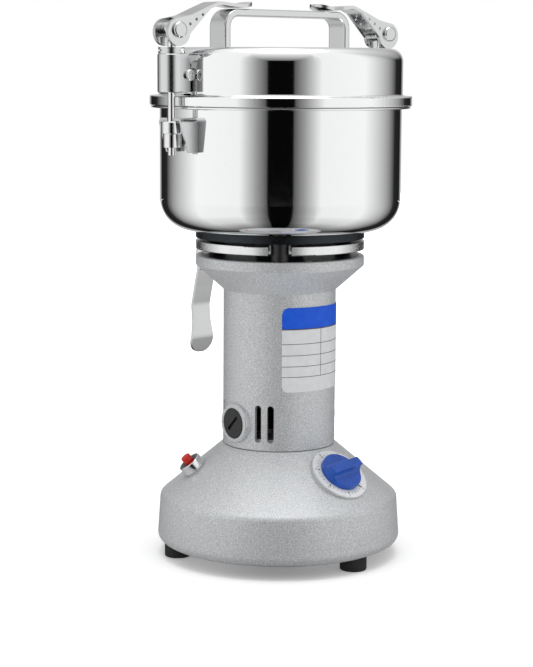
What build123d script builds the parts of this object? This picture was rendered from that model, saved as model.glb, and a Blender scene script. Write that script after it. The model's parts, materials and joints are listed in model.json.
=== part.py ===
"""Electric dry grinder: cast base and motor column, steel grinding bowl, latched lid.

Millimetres, +Z up. The origin is on the floor under the motor shaft. The front is -Y, the two
lid latches lie on the X axis. Angles are counted from the front towards +X.
"""
import math
import os

from build123d import *

os.makedirs("parts", exist_ok=True)

# Clearances shared by all pieces
overrun = 2.0
snug = 0.03
running = 0.05
slip = 0.1
loose = 0.3
same_length = 0.001

# Screws used in several places
frame_screw_radius = 2.0
frame_screw_head_radius = 3.5
frame_screw_head_height = 2.8
small_screw_radius = 1.6
small_screw_head_radius = 2.9
small_screw_head_height = 1.9

# Feet and bottom plate
foot_count = 3
foot_radius = 10.0
foot_height = 10.0
foot_edge = 1.5
foot_inset = 6.0
foot_recess_radius = 5.0
foot_recess_depth = 5.0
foot_screw_radius = 2.0
foot_screw_head_radius = 4.0
foot_screw_head_height = 2.6
foot_screw_bite = 14.0
foot_boss_radius = 7.0
foot_boss_height = 20.0
plate_thickness = 2.5
plate_hole_count = 12
plate_hole_radius = 3.0
plate_hole_circle = 45.0

# Base housing
base_turn = 4.0
skirt_flare = 2.3
skirt_top_radius = 90.2
skirt_height = 35.5
skirt_foot_round = 6.0
skirt_top_round = 4.5
cone_ledge = 0.7
cone_height = 39.5
cone_wall = 3.6
skirt_wall = 5.5
plate_ledge = 3.0
spigot_length = 7.0
spigot_flange = 3.0
spigot_flange_radius = 31.0
joint_gap = 0.4

# Motor column
column_radius = 42.5
column_wall = 4.0
column_height = 117.1
column_shelf = 4.0
column_shelf_radius = 30.0
column_root_round = 1.0
flare_height = 18.6
band_radius = 63.4
band_height = 7.3
band_round = 1.2
band_wall = 4.0
band_ledge = 11.4
end_plate_thickness = 6.0
column_screw_count = 3
column_screw_turn = 180.0
column_screw_bite = 9.0

# Vent slots and data plate
slot_width = 5.0
slot_length = 28.0
slot_rise = 20.1
slot_angles = (-41.6, -28.6, 28.6, 41.6)
label_thickness = 0.4
label_turn = 321.5
label_sweep = 88.0
label_height = 63.0
label_drop = 9.6
label_corner = 5.0

# Carbon brushes
brush_rise = 18.6
brush_angles = (-91.0, 89.0)
brush_boss_radius = 15.0
brush_boss_proud = 2.2
brush_boss_round = 1.6
brush_cap_radius = 11.5
brush_cap_seat = 4.0
brush_cap_height = 4.4
brush_cap_round = 1.2
brush_cap_slot_width = 2.6
brush_cap_slot_length = 15.0
brush_cap_slot_depth = 1.8
brush_cap_shank_radius = 6.4
brush_cap_shank = 5.5
brush_holder_radius = 8.0
brush_width = 6.0
brush_height = 10.0
brush_length = 18.0
brush_spring_radius = 2.6
brush_spring_bore = 1.6

# Motor
shaft_radius = 6.0
motor_headroom = 31.0
stator_rise = 40.1
stator_ring = 5.5
stator_neck = 16.0
stator_shoe = 3.6
stator_shoe_width = 33.0
air_gap = 0.7
rotor_radius = 20.5
coil_width = 30.0
coil_height = 4.0
coil_overhang = 8.0
coil_round = 5.0
rotor_slot_count = 12
rotor_slot_width = 4.0
rotor_slot_depth = 8.0
rotor_slot_mouth = 0.6
winding_overhang = 9.5
winding_radius = 19.0
winding_bore = 8.0
winding_round = 3.0
commutator_radius = 12.0
commutator_height = 15.0
commutator_bar_count = 24
commutator_slit = 0.5
commutator_slit_depth = 0.8
bearing_radius = 14.0
bearing_height = 8.0
bearing_ring = 2.4
bearing_groove = 0.8
bearing_hub_wall = 4.0
bearing_shoulder = 2.0
bearing_shoulder_radius = 10.0
bracket_thickness = 4.0
bracket_window_count = 4
bracket_window_radius = 5.0
bracket_window_circle = 25.5
bracket_screw_count = 3
bracket_screw_circle = 34.2
bracket_screw_bite = 7.0
fan_blade_count = 8
fan_radius = 33.0
fan_hub_radius = 11.0
fan_disc = 2.0
fan_height = 12.0
fan_blade = 1.6
fan_gap = 3.5

# Gap under the bowl
ring_drop = 4.7
ring_height = 6.6
ring_width = 17.0
ring_round = 0.8
ring_web = 2.5
ring_web_lift = 1.8
ring_hole_radius = 10.0
ring_gap = 1.7
ring_screw_count = 3
ring_screw_circle = 15.0
ring_screw_bite = 7.0
post_count = 3
post_turn = 79.0
post_radius = 6.4
post_inset = 7.9
post_room = 2.2
post_bolt_radius = 2.5
post_bolt_head_radius = 5.0
post_bolt_head_height = 2.6
post_bolt_bite = 4.5
end_screw_turn = 22.0
end_screw_inset = 7.7
end_screw_bite = 5.5
flange_height = 6.0
flange_hole_radius = 17.0

# Bowl and seal
bowl_radius = 90.0
bowl_height = 90.5
bowl_wall = 1.5
bowl_corner = 23.5
lip_reach = 6.5
bowl_lip_round = 0.6
bowl_screw_count = 4
bowl_screw_circle = 40.0
bowl_screw_radius = 2.5
bowl_screw_head_radius = 4.8
bowl_screw_head_height = 2.8
seal_radius = 12.0
seal_flange_radius = 15.0
seal_flange = 3.0

# Blades
blade_lift = 5.0
blade_thickness = 2.5
blade_width = 26.0
blade_tip_width = 13.0
blade_reach = 76.0
upper_blade_reach = 66.0
upper_blade_turn = 90.0
spacer_radius = 9.0
spacer_height = 6.0
blade_end_radius = 5.0
blade_nut_across = 16.0
blade_nut_height = 7.0
blade_nut_cap = 1.5

# Lid and handle
seam_gap = 0.3
rim_cover = 1.0
rim_height = 7.2
rim_round = 1.0
lid_room = 0.5
lid_height = 34.75
lid_wall = 1.5
lid_corner = 9.5
lid_root_round = 2.0
lid_seal_inset = 3.0
lid_seal_width = 3.0
lid_seal_height = 2.4
handle_span = 122.0
handle_height = 27.6
handle_width = 18.8
handle_thickness = 5.3
handle_corner = 13.0
handle_edge = 1.4

# Lid latches
latch_angles = {"left": -90.0, "right": 90.0}
rod_standoff = 5.0
rod_radius = 2.75
pivot_inset = 8.0
pivot_rise = 15.0
pin_rise = 11.75
pin_radius = 3.0
pin_head_radius = 5.75
pin_head_height = 2.8
pin_head_round = 1.8
eye_radius = 5.5
eye_width = 12.0
lug_width = 8.0
lug_end_radius = 3.4
lug_root_height = 12.0
pivot_screw_radius = 2.0
pivot_head_radius = 4.0
pivot_head_height = 2.2
pivot_head_round = 0.8
pivot_recess = 1.2
pivot_recess_width = 0.9
pivot_recess_length = 4.4
barrel_radius = 10.0
barrel_foot_gap = 2.6
barrel_block_width = 20.0
barrel_chamfer = 2.5
barrel_relief_depth = 3.5
barrel_relief_reach = 1.0
barrel_relief_height = 14.5
barrel_slot_room = 0.5
barrel_slot_rise = 8.0
barrel_round = 1.0
collar_height = 4.6
collar_radius = 9.4
collar_ring = 1.8
collar_waist = 8.4
cam_radius = 9.8
cam_offset = 1.5
cam_gap = 0.7
lever_length = 70.5
lever_width = 18.0
lever_paddle_width = 26.0
lever_strap = 2.4
lever_fork_room = 0.2
lever_web_start = 3.5
lever_clearance = 0.4
lever_hump = 2.2
lever_kick = 2.8
lever_tip_round = 1.1
lever_bend = 12.0
lever_top_share = (0.15, 0.34, 0.527, 0.84)
lever_climb_share = (0.5, 0.76)
lever_heel_share = 0.12
lever_cheek_share = 0.40
lever_neck_share = 0.68
lever_tip_share = 0.8
lever_hole_share = (0.14, 0.22, 0.30)
lever_hole_rise_share = (0.20, 0.36, 0.52)
lever_hole_radius = 1.1
catch_width = 26.0
catch_height = 24.5
catch_thickness = 2.0
catch_bend = 3.5
catch_reach = 1.5
catch_foot_reach = 6.5
catch_slot_room = 0.45
catch_drop = 6.2
nut_gap = 0.3
nut_radius = 7.5
nut_head = 9.1
nut_waist_radius = 6.1
nut_waist = 9.4
nut_round = 1.0
rod_tail = 5.6

# Rear clamp lever
rear_angle_from_knob = 180.0
rear_pin_standoff = 12.1
rear_pin_rise = 3.0
rear_lug_height = 7.6
rear_lever_length = 80.0
rear_lever_valley = 12.0
rear_cheek_share = 0.17

# Timer
dial_place = 63.0
dial_radius = 22.4
dial_thickness = 1.0
dial_margin = 0.25
pad_rise = 0.8
pad_depth = 5.6
knob_radius = 15.8
knob_skirt = 4.2
knob_height = 10.5
knob_bar_width = 7.5
knob_scoop = 4.0
knob_edge = 0.7
knob_gap = 0.4
knob_turn = 5.0
timer_side = 34.0
timer_depth = 22.0
timer_round = 3.0
timer_shaft_radius = 3.0
timer_shaft_sink = 10.0
timer_shaft_in_knob = 7.0
timer_hole_radius = 3.8
timer_screw_offset = 12.5
timer_screw_bite = 7.0

# Overload cut-out
breaker_place = 65.0
breaker_turn = 240.0
breaker_pad_radius = 10.0
breaker_pad_rise = 0.5
breaker_pad_depth = 4.8
breaker_width = 14.0
breaker_length = 22.0
breaker_depth = 26.0
breaker_round = 1.5
breaker_neck_radius = 6.0
breaker_nut_radius = 9.0
breaker_nut_height = 7.5
breaker_nut_round = 0.8
breaker_neck_drop = 1.0
button_radius = 3.75
button_proud = 6.0
button_travel = 3.0
button_edge = 0.8

# Cord gland
gland_rise = 17.0
gland_bore = 3.75
gland_radius = 6.0
gland_collar_radius = 8.0
gland_collar = 4.0
gland_collar_round = 1.2
gland_seat_depth = 0.6
gland_nut_across = 17.0
gland_nut_height = 4.0
gland_tail = 1.5

# Heights, from the floor up
base_floor = foot_height
plate_top = base_floor + plate_thickness
skirt_top = base_floor + skirt_height
cone_top = skirt_top + cone_height
spigot_foot = cone_top - spigot_length
spigot_flange_foot = spigot_foot - spigot_flange
column_foot = cone_top + joint_gap
shelf_top = column_foot + column_shelf
flare_foot = column_foot + column_height
band_foot = flare_foot + flare_height
band_top = band_foot + band_height
end_plate_foot = band_top - end_plate_thickness
ring_foot = band_top + ring_drop
ring_top = ring_foot + ring_height
web_foot = ring_foot + ring_web_lift
flange_foot = ring_top + ring_gap
bowl_foot = flange_foot + flange_height
bowl_floor = bowl_foot + bowl_wall
lip_foot = bowl_foot + bowl_height
lip_top = lip_foot + bowl_wall
rim_foot = lip_top + seam_gap
rim_top = rim_foot + rim_height
lid_top = rim_top + lid_height
handle_top = lid_top + handle_height
pivot_height = rim_top + pivot_rise
pin_height = lid_top + pin_rise
collar_top = pin_height - cam_offset - cam_radius - cam_gap
collar_foot = collar_top - collar_height
barrel_foot = rim_top + barrel_foot_gap
brush_level = column_foot + brush_rise
stator_foot = column_foot + stator_rise
stator_top = flare_foot - motor_headroom
stator_height = stator_top - stator_foot
label_foot = flare_foot - label_drop - label_height
slot_level = column_foot + slot_rise
fan_foot = stator_top + winding_overhang + fan_gap

# Radii worked out from the sizes above
skirt_foot_radius = skirt_top_radius + skirt_flare
cone_top_radius = column_radius + cone_ledge
base_inner = skirt_top_radius - skirt_wall
plate_seat = base_inner + plate_ledge
foot_circle = base_inner - foot_inset
column_inner = column_radius - column_wall
end_plate_seat = band_radius - band_wall
ledge_radius = band_radius - band_ledge
post_circle = band_radius - post_inset
end_screw_circle = band_radius - end_screw_inset
stator_radius = column_inner - slip
stator_bore = rotor_radius + air_gap
bowl_lip_radius = bowl_radius + lip_reach
rim_radius = bowl_lip_radius + rim_cover
lid_radius = bowl_radius + lid_room
rod_place = rim_radius + rod_standoff
pivot_place = rod_place - pivot_inset
pivot_standoff = pivot_place - lid_radius
rear_angle = base_turn + rear_angle_from_knob
rear_pin_place = band_radius + rear_pin_standoff
rear_pin_height = band_foot + rear_pin_rise

# Slope of the cone
cone_run = skirt_top_radius - cone_top_radius
cone_side = math.hypot(cone_run, cone_height)
cone_out = cone_height / cone_side
cone_up = cone_run / cone_side


def outward(angle):
    """The level direction that points out of the machine at an angle."""
    turn = math.radians(angle)
    return Vector(math.sin(turn), -math.cos(turn), 0)


def sideways(angle):
    """The level direction along which the angle grows."""
    turn = math.radians(angle)
    return Vector(math.cos(turn), math.sin(turn), 0)


def around(radius, angle, height):
    """The point at a radius, an angle and a height."""
    return outward(angle) * radius + Vector(0, 0, height)


def level(height):
    """A level plane at a height."""
    return Plane.XY.offset(height)


def level_at(radius, angle, height):
    """A level plane centred on a point."""
    return Plane(origin=around(radius, angle, height))


def section(angle):
    """The upright plane through the axis at an angle, with x outwards and y upwards."""
    return Plane(origin=(0, 0, 0), x_dir=outward(angle), z_dir=-sideways(angle))


def wall(radius, angle, height):
    """The upright plane that faces outwards at an angle, with y upwards."""
    return Plane(around(radius, angle, height), x_dir=sideways(angle), z_dir=outward(angle))


def slope(radius, angle, rise):
    """The plane that lies on the cone at a radius, lifted off it by a rise."""
    normal = outward(angle) * cone_out + Vector(0, 0, cone_up)
    height = cone_top - (radius - cone_top_radius) * cone_height / cone_run
    return Plane(around(radius, angle, height) + normal * rise, x_dir=sideways(angle), z_dir=normal)


def spread(count, start):
    """Evenly spaced angles, the first at a start angle."""
    return [start + index * 360 / count for index in range(count)]


def outline(*corners):
    """Fill the closed outline through (x, y) or (x, y, radius) corners."""
    points = [Vector(corner[0], corner[1]) for corner in corners]
    radii = [corner[2] if len(corner) > 2 else 0 for corner in corners]
    with BuildLine() as loop:
        last_end = None
        first_start = None
        for index, (point, radius) in enumerate(zip(points, radii)):
            back = (points[index - 1] - point).normalized()
            ahead = (points[(index + 1) % len(points)] - point).normalized()
            half = math.radians(back.get_angle(ahead)) / 2
            start = point + back * (radius / math.tan(half))
            end = point + ahead * (radius / math.tan(half))
            if last_end is not None and (start - last_end).length > same_length:
                Line(last_end, start)
            if radius:
                middle = (back + ahead).normalized()
                depth = radius / math.sin(half) - radius
                ThreePointArc(start, point + middle * depth, end)
            first_start = first_start or start
            last_end = end
        if (first_start - last_end).length > same_length:
            Line(last_end, first_start)
    make_face(loop.edges())


def turned(*corners, mode=Mode.ADD):
    """Turn an outline of (radius, height) corners about the machine's axis."""
    with BuildSketch(Plane.XZ) as profile:
        outline(*corners)
    revolve(profile.sketch, axis=Axis.Z, mode=mode)


def bar(plane, radius, length, mode=Mode.ADD):
    """A round bar that stands on a plane, or a round hole."""
    with BuildSketch(plane) as profile:
        Circle(radius)
    extrude(profile.sketch, amount=length, mode=mode)


def tube(plane, radius, bore, length, mode=Mode.ADD):
    """A tube that stands on a plane."""
    with BuildSketch(plane) as profile:
        Circle(radius)
        Circle(bore, mode=Mode.SUBTRACT)
    extrude(profile.sketch, amount=length, mode=mode)


def hexagon(plane, across, bore, length):
    """A hexagon nut that stands on a plane."""
    with BuildSketch(plane) as profile:
        RegularPolygon(across / 2, 6, major_radius=False)
        Circle(bore, mode=Mode.SUBTRACT)
    extrude(profile.sketch, amount=length)


def screw(plane, radius, shank, head_radius, head):
    """A screw whose head stands on a plane and whose shank goes down behind it."""
    bar(plane, head_radius, head)
    bar(plane, radius, -shank)


def rims(piece, radius):
    """The round edges of a piece that have a radius."""
    circles = piece.edges().filter_by(GeomType.CIRCLE)
    return circles.filter_by(lambda edge: abs(edge.radius - radius) < same_length)


def save(piece, name):
    """Label a finished piece and write it out."""
    piece.part.label = name
    export_step(piece.part, f"parts/{name}.step")


# Feet, screwed up through the bottom plate into the base
foot_angles = spread(foot_count, base_turn)

with BuildPart() as rubber_feet:
    for angle in foot_angles:
        bar(level_at(foot_circle, angle, 0), foot_radius, foot_height)
    fillet(rubber_feet.edges().filter_by(GeomType.CIRCLE).group_by(Axis.Z)[0], foot_edge)
    for angle in foot_angles:
        bar(level_at(foot_circle, angle, 0), foot_recess_radius, foot_recess_depth, Mode.SUBTRACT)
        bar(level_at(foot_circle, angle, 0), foot_screw_radius + slip, foot_height, Mode.SUBTRACT)
save(rubber_feet, "rubber_feet")

with BuildPart() as foot_screws:
    for angle in foot_angles:
        head_face = foot_recess_depth - foot_screw_head_height
        shank = plate_top + foot_screw_bite - foot_recess_depth
        bar(level_at(foot_circle, angle, head_face), foot_screw_head_radius, foot_screw_head_height)
        bar(level_at(foot_circle, angle, foot_recess_depth), foot_screw_radius, shank)
save(foot_screws, "foot_screws")

with BuildPart() as bottom_plate:
    bar(level(base_floor), plate_seat - loose, plate_thickness)
    for angle in foot_angles:
        screw_spot = level_at(foot_circle, angle, base_floor)
        bar(screw_spot, foot_screw_radius + slip, plate_thickness, Mode.SUBTRACT)
    for angle in spread(plate_hole_count, base_turn):
        air_hole = level_at(plate_hole_circle, angle, base_floor)
        bar(air_hole, plate_hole_radius, plate_thickness, Mode.SUBTRACT)
save(bottom_plate, "bottom_plate")

# Base housing: a turned casting with a flat pad for the dial and one for the cut-out
breaker_angle = base_turn + breaker_turn
inner_drop = cone_wall / cone_up
inner_cone_foot = cone_top - (base_inner - cone_top_radius) * cone_height / cone_run - inner_drop
inner_cone_depth = cone_top - spigot_flange_foot - inner_drop
inner_cone_top_radius = cone_top_radius + inner_cone_depth * cone_run / cone_height
gland_seat = skirt_foot_radius + (skirt_top_radius - skirt_foot_radius) * gland_rise / skirt_height
gland_seat = math.sqrt(gland_seat**2 - gland_collar_radius**2) - gland_seat_depth
spigot_radius = column_inner - slip
spigot_seat = spigot_radius + slip
column_screw_circle = (spigot_radius + spigot_flange_radius) / 2
column_screw_angles = spread(column_screw_count, base_turn + column_screw_turn)
bracket_angles = spread(bracket_screw_count, base_turn)
post_angles = spread(post_count, post_turn)
end_screw_angles = spread(post_count, post_turn + end_screw_turn)
ring_screw_angles = spread(ring_screw_count, post_turn)

with BuildPart() as base_cavity:
    turned(
        (0, base_floor - overrun),
        (plate_seat, base_floor - overrun),
        (plate_seat, plate_top),
        (base_inner, plate_top),
        (base_inner, inner_cone_foot),
        (inner_cone_top_radius, spigot_flange_foot),
        (0, spigot_flange_foot),
    )
    for angle in foot_angles:
        bar(level_at(foot_circle, angle, plate_top), foot_boss_radius, foot_boss_height, Mode.SUBTRACT)
    bar(slope(dial_place, base_turn, -pad_depth), dial_radius + dial_margin, pad_depth, Mode.SUBTRACT)
    breaker_pad = slope(breaker_place, breaker_angle, -breaker_pad_depth)
    bar(breaker_pad, breaker_pad_radius * 2, breaker_pad_depth, Mode.SUBTRACT)

with BuildPart() as base_housing:
    turned(
        (0, base_floor),
        (skirt_foot_radius, base_floor, skirt_foot_round),
        (skirt_top_radius, skirt_top, skirt_top_round),
        (cone_top_radius, cone_top, joint_gap),
        (0, cone_top),
    )
    bar(slope(dial_place, base_turn, -pad_depth), dial_radius + dial_margin, pad_depth + pad_rise)
    bar(breaker_pad, breaker_pad_radius, breaker_pad_depth + breaker_pad_rise)
    add(base_cavity.part, mode=Mode.SUBTRACT)
    bar(level(spigot_foot), spigot_seat, spigot_length + overrun, Mode.SUBTRACT)
    bar(level(spigot_flange_foot), spigot_flange_radius, spigot_flange, Mode.SUBTRACT)
    for angle in column_screw_angles:
        screw_spot = level_at(column_screw_circle, angle, spigot_flange_foot)
        bar(screw_spot, frame_screw_radius + slip, spigot_flange, Mode.SUBTRACT)
    for angle in foot_angles:
        boss_hole = level_at(foot_circle, angle, plate_top)
        bar(boss_hole, foot_screw_radius + slip, foot_screw_bite + overrun, Mode.SUBTRACT)
    shaft_hole = slope(dial_place, base_turn, -pad_depth)
    bar(shaft_hole, timer_hole_radius, pad_depth + pad_rise, Mode.SUBTRACT)
    with BuildSketch(slope(dial_place, base_turn, pad_rise)):
        with Locations((-timer_screw_offset, 0), (timer_screw_offset, 0)):
            Circle(small_screw_head_radius + slip)
    extrude(amount=-small_screw_head_height, mode=Mode.SUBTRACT)
    with BuildSketch(slope(dial_place, base_turn, pad_rise)):
        with Locations((-timer_screw_offset, 0), (timer_screw_offset, 0)):
            Circle(small_screw_radius + slip)
    extrude(amount=-(pad_depth + pad_rise), mode=Mode.SUBTRACT)
    bar(breaker_pad, breaker_neck_radius + slip, breaker_pad_depth + breaker_pad_rise, Mode.SUBTRACT)
    gland_spot = wall(gland_seat, rear_angle, base_floor + gland_rise)
    bar(gland_spot, gland_collar_radius + slip, gland_collar, Mode.SUBTRACT)
    bar(gland_spot, gland_radius + slip, -(skirt_wall + gland_collar), Mode.SUBTRACT)
save(base_housing, "base_housing")

# Cord gland and its nut, at the back of the skirt
gland_nut_seat = math.sqrt(base_inner**2 - (gland_nut_across / math.sqrt(3)) ** 2) - same_length
gland_length = gland_seat - gland_nut_seat + gland_nut_height + gland_tail

with BuildPart() as cord_gland:
    bar(gland_spot, gland_collar_radius, gland_collar)
    gland_faces = cord_gland.faces().sort_by(Axis(gland_spot.origin, gland_spot.z_dir))
    fillet(gland_faces[-1].edges(), gland_collar_round)
    bar(gland_spot, gland_radius, -gland_length)
    bore_start = gland_spot.offset(gland_collar)
    bar(bore_start, gland_bore, -(gland_length + gland_collar), Mode.SUBTRACT)
save(cord_gland, "cord_gland")

with BuildPart() as gland_nut:
    gland_nut_plane = wall(gland_nut_seat, rear_angle, base_floor + gland_rise)
    hexagon(gland_nut_plane, gland_nut_across, gland_radius + slip, -gland_nut_height)
save(gland_nut, "gland_nut")

# Motor column: turned casting with brush bosses, vent slots and a lug for the rear lever
with BuildPart() as motor_column:
    turned(
        (0, spigot_foot),
        (spigot_radius, spigot_foot),
        (spigot_radius, column_foot),
        (column_radius, column_foot, joint_gap),
        (column_radius, flare_foot, column_root_round),
        (band_radius, band_foot, band_round),
        (band_radius, band_top, band_round),
        (0, band_top),
    )
    for angle in brush_angles:
        boss_length = column_wall + brush_boss_proud
        bar(wall(column_inner, angle, brush_level), brush_boss_radius, boss_length)
    fillet(rims(motor_column, brush_boss_radius), brush_boss_round)
    with BuildSketch(section(rear_angle)):
        with Locations((rear_pin_place, rear_pin_height)):
            Circle(eye_radius)
        with Locations(((end_plate_seat + rear_pin_place) / 2, rear_pin_height)):
            Rectangle(rear_pin_place - end_plate_seat, rear_lug_height)
    extrude(amount=eye_width / 2, both=True)
    turned(
        (0, spigot_foot - overrun),
        (column_shelf_radius, spigot_foot - overrun),
        (column_shelf_radius, shelf_top),
        (column_inner, shelf_top),
        (column_inner, flare_foot),
        (ledge_radius, band_foot),
        (ledge_radius, end_plate_foot),
        (end_plate_seat, end_plate_foot),
        (end_plate_seat, band_top + overrun),
        (0, band_top + overrun),
        mode=Mode.SUBTRACT,
    )
    with BuildSketch(section(rear_angle)):
        with Locations((rear_pin_place, rear_pin_height)):
            Circle(pin_radius + running)
    extrude(amount=eye_width, both=True, mode=Mode.SUBTRACT)
    for angle in brush_angles:
        cap_seat = wall(column_radius + brush_boss_proud - brush_cap_seat, angle, brush_level)
        bar(cap_seat, brush_cap_radius + slip, brush_cap_seat, Mode.SUBTRACT)
        bar(cap_seat, brush_holder_radius + slip, -(brush_boss_proud + column_radius) / 2, Mode.SUBTRACT)
        for step in slot_angles:
            with BuildSketch(wall(column_inner - column_wall, angle + step, slot_level)):
                SlotOverall(slot_length, slot_width, rotation=90)
            extrude(amount=column_wall * 3, mode=Mode.SUBTRACT)
    for angle in column_screw_angles:
        screw_spot = level_at(column_screw_circle, angle, spigot_foot)
        bar(screw_spot, frame_screw_radius + slip, column_screw_bite, Mode.SUBTRACT)
    for angle in bracket_angles:
        screw_spot = level_at(bracket_screw_circle, angle, shelf_top)
        bar(screw_spot, frame_screw_radius + slip, -bracket_screw_bite, Mode.SUBTRACT)
    for angle in end_screw_angles:
        screw_spot = level_at(end_screw_circle, angle, end_plate_foot)
        bar(screw_spot, small_screw_radius + slip, -end_screw_bite, Mode.SUBTRACT)
save(motor_column, "motor_column")

with BuildPart() as data_plate:
    with BuildSketch(section(label_turn)):
        with Locations((column_radius + snug, label_foot)):
            Rectangle(label_thickness, label_height, align=(Align.MIN, Align.MIN))
    revolve(axis=Axis.Z, revolution_arc=label_sweep)
    short_edges = data_plate.edges().group_by(SortBy.LENGTH)[0]
    fillet(short_edges, label_corner)
save(data_plate, "data_plate")

# Carbon brushes: holder in the boss, brush, spring and screwed cap
cap_seat_place = column_radius + brush_boss_proud - brush_cap_seat
brush_tip = commutator_radius + slip
brush_back = brush_tip + brush_length
cap_shank_tip = cap_seat_place - brush_cap_shank
holder_tip = brush_tip + overrun

with BuildPart() as brush_holders:
    for angle in brush_angles:
        holder = wall(cap_seat_place, angle, brush_level)
        bar(holder, brush_holder_radius, holder_tip - cap_seat_place)
        with BuildSketch(holder):
            Rectangle(brush_width + slip * 2, brush_height + slip * 2)
        extrude(amount=holder_tip - cap_seat_place, mode=Mode.SUBTRACT)
        bar(holder, brush_cap_shank_radius + slip, -brush_cap_shank, Mode.SUBTRACT)
save(brush_holders, "brush_holders")

with BuildPart() as carbon_brushes:
    for angle in brush_angles:
        with BuildSketch(wall(brush_tip, angle, brush_level)):
            Rectangle(brush_width, brush_height)
        extrude(amount=brush_length)
save(carbon_brushes, "carbon_brushes")

with BuildPart() as brush_springs:
    for angle in brush_angles:
        spring_foot = wall(brush_back, angle, brush_level)
        tube(spring_foot, brush_spring_radius, brush_spring_bore, cap_shank_tip - brush_back)
save(brush_springs, "brush_springs")

with BuildPart() as brush_caps:
    for angle in brush_angles:
        bar(wall(cap_seat_place, angle, brush_level), brush_cap_radius, brush_cap_height)
    cap_middle = cap_seat_place + brush_cap_height / 2
    for rim in rims(brush_caps, brush_cap_radius):
        if max(rim.center().dot(outward(angle)) for angle in brush_angles) > cap_middle:
            fillet(rim, brush_cap_round)
    for angle in brush_angles:
        bar(wall(cap_seat_place, angle, brush_level), brush_cap_shank_radius, -brush_cap_shank)
        with BuildSketch(wall(cap_seat_place + brush_cap_height, angle, brush_level)):
            SlotOverall(brush_cap_slot_length, brush_cap_slot_width, rotation=45)
        extrude(amount=-brush_cap_slot_depth, mode=Mode.SUBTRACT)
save(brush_caps, "brush_caps")

# Stator with two poles, front and back, and a coil on each
ring_inner = stator_radius - stator_ring
shoe_outer = stator_bore + stator_shoe
coil_foot = shoe_outer + slip

with BuildPart() as stator_core:
    with BuildSketch(level(stator_foot)):
        Circle(stator_radius)
        Circle(ring_inner, mode=Mode.SUBTRACT)
        Rectangle(stator_neck, (stator_radius + ring_inner))
    extrude(amount=stator_height)
    with BuildSketch(level(stator_foot)):
        Circle(shoe_outer)
        Rectangle(stator_shoe_width, stator_radius * 2, mode=Mode.INTERSECT)
    extrude(amount=stator_height)
    bar(level(stator_foot), stator_bore, stator_height, Mode.SUBTRACT)
save(stator_core, "stator_core")

with BuildPart() as field_coils:
    for angle in (0, 180):
        with BuildSketch(wall(coil_foot, angle, (stator_foot + stator_top) / 2)):
            RectangleRounded(coil_width, stator_height + coil_overhang * 2, coil_round)
            Rectangle(stator_neck + slip * 2, stator_height + slip * 2, mode=Mode.SUBTRACT)
        extrude(amount=coil_height)
save(field_coils, "field_coils")

# Bearings and what holds them
hub_radius = bearing_radius + bearing_hub_wall
lower_bearing_foot = shelf_top - bearing_height
lower_hub_foot = lower_bearing_foot - bearing_shoulder
upper_bearing_foot = end_plate_foot - bearing_height


def bearing(foot):
    """A ball bearing whose two rings are joined by its shields."""
    tube(level(foot), bearing_radius, shaft_radius + snug, bearing_height)
    for face in (foot, foot + bearing_height - bearing_groove):
        groove = level(face)
        inner_ring = shaft_radius + bearing_ring
        tube(groove, bearing_radius - bearing_ring, inner_ring, bearing_groove, Mode.SUBTRACT)


with BuildPart() as shaft_bearings:
    bearing(lower_bearing_foot)
    bearing(upper_bearing_foot)
save(shaft_bearings, "shaft_bearings")

with BuildPart() as lower_bearing_bracket:
    bar(level(shelf_top), column_inner - slip, bracket_thickness)
    bar(level(lower_hub_foot), hub_radius, shelf_top - lower_hub_foot)
    bar(level(lower_hub_foot), bearing_shoulder_radius, bearing_shoulder, Mode.SUBTRACT)
    hub_depth = shelf_top + bracket_thickness - lower_bearing_foot
    bar(level(lower_bearing_foot), bearing_radius + snug, hub_depth, Mode.SUBTRACT)
    for angle in spread(bracket_window_count, base_turn):
        window = level_at(bracket_window_circle, angle, shelf_top)
        bar(window, bracket_window_radius, bracket_thickness, Mode.SUBTRACT)
    for angle in bracket_angles:
        screw_spot = level_at(bracket_screw_circle, angle, shelf_top)
        bar(screw_spot, frame_screw_radius + slip, bracket_thickness, Mode.SUBTRACT)
save(lower_bearing_bracket, "lower_bearing_bracket")

with BuildPart() as frame_screws:
    for angle in column_screw_angles:
        screw_spot = level_at(column_screw_circle, angle, spigot_flange_foot)
        bar(screw_spot, frame_screw_head_radius, -frame_screw_head_height)
        bar(screw_spot, frame_screw_radius, spigot_flange + column_screw_bite - slip)
    for angle in bracket_angles:
        screw_spot = level_at(bracket_screw_circle, angle, shelf_top + bracket_thickness)
        shank = bracket_thickness + bracket_screw_bite - slip
        screw(screw_spot, frame_screw_radius, shank, frame_screw_head_radius, frame_screw_head_height)
save(frame_screws, "frame_screws")

with BuildPart() as upper_end_plate:
    bar(level(end_plate_foot), end_plate_seat - slip, end_plate_thickness)
    bearing_pocket = level(upper_bearing_foot - bearing_shoulder)
    bar(bearing_pocket, hub_radius, web_foot - upper_bearing_foot + bearing_shoulder)
    bar(bearing_pocket, bearing_radius + snug, bearing_height + bearing_shoulder, Mode.SUBTRACT)
    bar(level(end_plate_foot), bearing_shoulder_radius, web_foot - end_plate_foot, Mode.SUBTRACT)
    for angle in post_angles:
        bolt_spot = level_at(post_circle, angle, band_top)
        bar(bolt_spot, post_bolt_radius + slip, -post_bolt_bite, Mode.SUBTRACT)
    for angle in end_screw_angles:
        screw_spot = level_at(end_screw_circle, angle, band_top)
        bar(screw_spot, small_screw_radius + slip, -end_plate_thickness, Mode.SUBTRACT)
        bar(screw_spot, small_screw_head_radius + slip, -small_screw_head_height, Mode.SUBTRACT)
    for angle in ring_screw_angles:
        screw_spot = level_at(ring_screw_circle, angle, web_foot)
        bar(screw_spot, small_screw_radius + slip, -ring_screw_bite, Mode.SUBTRACT)
save(upper_end_plate, "upper_end_plate")

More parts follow.
